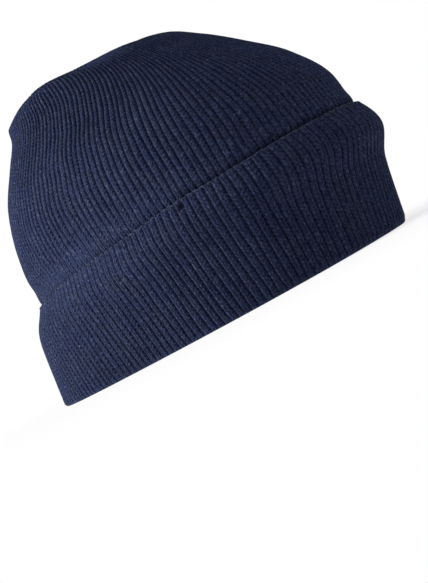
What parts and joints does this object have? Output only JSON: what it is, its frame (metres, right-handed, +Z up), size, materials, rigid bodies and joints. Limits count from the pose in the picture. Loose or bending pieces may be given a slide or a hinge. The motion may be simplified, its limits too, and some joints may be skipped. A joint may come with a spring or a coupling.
{
  "type": "knit hat",
  "caption": "Close-fitting rib-knit winter hat with a rounded crown and a turned-up cuff, open below, standing on its rim.",
  "frame": {"origin": "middle of the hat's outline, on the surface that its rim rests on", "axes": "+Z up from the rim to the crown, -Y towards the wearer's front, +X towards the wearer's left"},
  "size_m": [0.1696, 0.2266, 0.15],
  "materials": {
    "navy_knit": "matt rib-knit navy yarn with a soft fuzz"
  },
  "bodies": {
    "root": {"knit_body": "navy_knit"}
  },
  "joints": []
}
